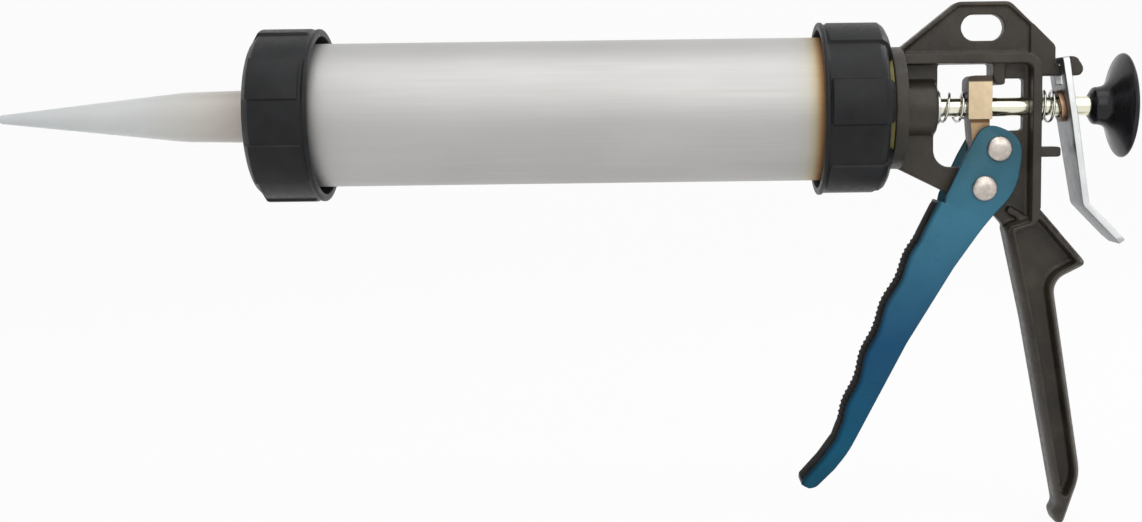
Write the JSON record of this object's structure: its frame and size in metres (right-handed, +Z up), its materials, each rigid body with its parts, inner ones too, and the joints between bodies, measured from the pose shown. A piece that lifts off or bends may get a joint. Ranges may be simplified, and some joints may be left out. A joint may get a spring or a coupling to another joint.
{
  "type": "caulking gun",
  "caption": "Sausage-style sealant gun with an aluminium barrel, screw-on nozzle and ring nuts, cast frame, squeeze trigger, push rod, release plate and pull knob.",
  "frame": {"origin": "on the rod's axis at the tip of the nozzle's outlet", "axes": "+X along the rod from the nozzle to the pull knob, +Z up from the handle to the hanging loop, +Y to the gun's left side seen from behind the knob"},
  "size_m": [0.4149, 0.0634, 0.1948],
  "materials": {
    "frame_coat": "black-brown powder coat with a fine satin texture on a zinc casting",
    "bush_steel": "turned zinc-plated steel",
    "yellow_nylon": "yellow plastic bearing washer",
    "spring_steel": "dark spring steel",
    "barrel_aluminium": "satin anodised drawn aluminium",
    "nut_plastic": "moulded black plastic with a slight sheen",
    "zinc_plate": "zinc-plated pressed steel",
    "nozzle_plastic": "milky translucent moulded plastic",
    "gasket_rubber": "black rubber",
    "rod_steel": "bright plated drawn steel",
    "knob_plastic": "glossy black moulded plastic",
    "piston_plastic": "dark moulded plastic",
    "trigger_paint": "smooth blue enamel on pressed steel",
    "grip_plastic": "ribbed dark grip pad",
    "rivet_nickel": "satin nickel-plated rivet",
    "block_zinc": "yellow-passivated zinc block with dark worn faces",
    "release_steel": "zinc-plated pressed steel",
    "bronze_washer": "brown bronze-coloured washer",
    "spring_wire": "bright plated spring wire"
  },
  "bodies": {
    "frame": {"frame_casting": "frame_coat", "front_rod_bush": "bush_steel", "swivel_washer": "yellow_nylon", "spigot_circlip": "spring_steel", "drive_spring": "spring_wire", "release_spring": "spring_wire"},
    "barrel": {"barrel_tube": "barrel_aluminium", "rear_ring_nut": "nut_plastic", "barrel_end_plate": "zinc_plate"},
    "nozzle": {"nozzle": "nozzle_plastic", "nozzle_gasket": "gasket_rubber"},
    "front_ring_nut": {"front_ring_nut": "nut_plastic"},
    "rod": {"piston_rod": "rod_steel", "pull_knob": "knob_plastic", "piston_cup": "piston_plastic", "piston_plate": "zinc_plate", "piston_nut": "zinc_plate"},
    "trigger": {"trigger_lever": "trigger_paint", "trigger_grip": "grip_plastic", "pivot_rivet": "rivet_nickel", "drive_rivet": "rivet_nickel"},
    "drive_block": {"drive_block": "block_zinc"},
    "release": {"release_plate": "release_steel", "release_washer": "bronze_washer"}
  },
  "joints": [
    {"name": "barrel_swivel", "type": "hinge", "parent": "frame", "child": "barrel", "pos_m": [0.3248, 0, 0], "axis": [1, 0, 0], "continuous": true},
    {"name": "nozzle_lift", "type": "slide", "parent": "barrel", "child": "nozzle", "axis": [-1, 0, 0], "range_m": [0, 0.012]},
    {"name": "nut_turn", "type": "hinge", "parent": "nozzle", "child": "front_ring_nut", "pos_m": [0.0962, 0, 0], "axis": [-1, 0, 0], "range_deg": [0, 1440]},
    {"name": "rod_slide", "type": "slide", "parent": "frame", "child": "rod", "axis": [1, 0, 0], "range_m": [0, 0.195]},
    {"name": "trigger_squeeze", "type": "hinge", "parent": "frame", "child": "trigger", "pos_m": [0.3616, 0, -0.0296], "axis": [0, -1, 0], "range_deg": [0, 23], "stiffness_Nm_per_rad": 0.35, "springref_deg": -17.19},
    {"name": "block_slide", "type": "slide", "parent": "frame", "child": "drive_block", "axis": [-1, 0, 0], "range_m": [0, 0.0061], "deforming": ["drive_spring"]},
    {"name": "release_tilt", "type": "hinge", "parent": "frame", "child": "release", "pos_m": [0.3904, 0, 0.0159], "axis": [0, 1, 0], "range_deg": [0, 6.7], "stiffness_Nm_per_rad": 0.13, "springref_deg": -22.92, "deforming": ["release_spring"]}
  ],
  "couplings": [
    {"joint": "nozzle_lift", "follows": "nut_turn", "m_per_rad": 0.0004774},
    {"joint": "block_slide", "follows": "trigger_squeeze", "m_per_rad": 0.015}
  ]
}
